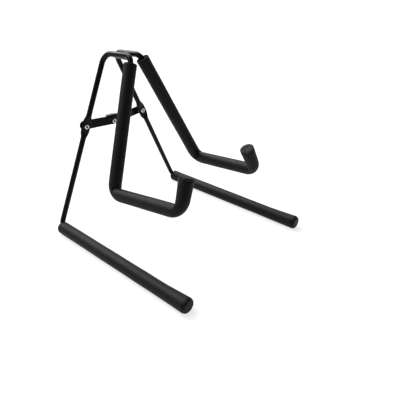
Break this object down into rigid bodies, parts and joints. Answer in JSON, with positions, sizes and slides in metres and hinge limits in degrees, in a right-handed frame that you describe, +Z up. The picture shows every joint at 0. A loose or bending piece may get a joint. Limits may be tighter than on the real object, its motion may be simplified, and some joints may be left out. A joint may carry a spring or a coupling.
{
  "type": "ukulele stand",
  "caption": "Folding stand for a ukulele: bent round bars with foam-sleeved feet and hooks, hinged at the top and held open by a riveted folding brace.",
  "frame": {"origin": "on the floor, in the middle of the stand's box", "axes": "+Z up, the hooks point to -Y, the two halves stand to -X and +X"},
  "size_m": [0.2152, 0.2256, 0.2067],
  "materials": {
    "black_paint": "satin black",
    "foam": "matte black foam",
    "bright_steel": "bright plated"
  },
  "bodies": {
    "left_half": {"left_rod": "black_paint", "left_arm_sleeve": "foam", "left_foot_sleeve": "foam", "left_foot_plug": "foam", "left_hook_plug": "foam", "left_knuckles": "black_paint", "hinge_pin": "bright_steel", "left_spacer": "bright_steel", "left_lug_rivet": "bright_steel"},
    "right_half": {"right_rod": "black_paint", "right_arm_sleeve": "foam", "right_foot_sleeve": "foam", "right_foot_plug": "foam", "right_hook_plug": "foam", "right_knuckle": "black_paint", "right_spacer": "bright_steel", "right_lug_rivet": "bright_steel"},
    "brace_left": {"left_brace_bar": "black_paint", "centre_rivet": "bright_steel", "centre_washer": "bright_steel"},
    "brace_right": {"right_brace_bar": "black_paint", "right_rivet_tail": "bright_steel"}
  },
  "joints": [
    {"name": "fold", "type": "hinge", "parent": "left_half", "child": "right_half", "pos_m": [0, 0.08257, 0.20039], "axis": [0, 1, 0], "range_deg": [0, 47]},
    {"name": "brace_left_pivot", "type": "hinge", "parent": "left_half", "child": "brace_left", "pos_m": [-0.04481, 0.10426, 0.12261], "axis": [0, 1, 0], "range_deg": [-59.19, 0.01]},
    {"name": "brace_centre_pivot", "type": "hinge", "parent": "brace_left", "child": "brace_right", "pos_m": [0, 0.10426, 0.11821], "axis": [0, 1, 0], "range_deg": [-0.01, 165.36]}
  ],
  "couplings": [
    {"joint": "brace_left_pivot", "follows": "fold", "ratio": -1.259},
    {"joint": "brace_centre_pivot", "follows": "fold", "ratio": 3.5181}
  ]
}
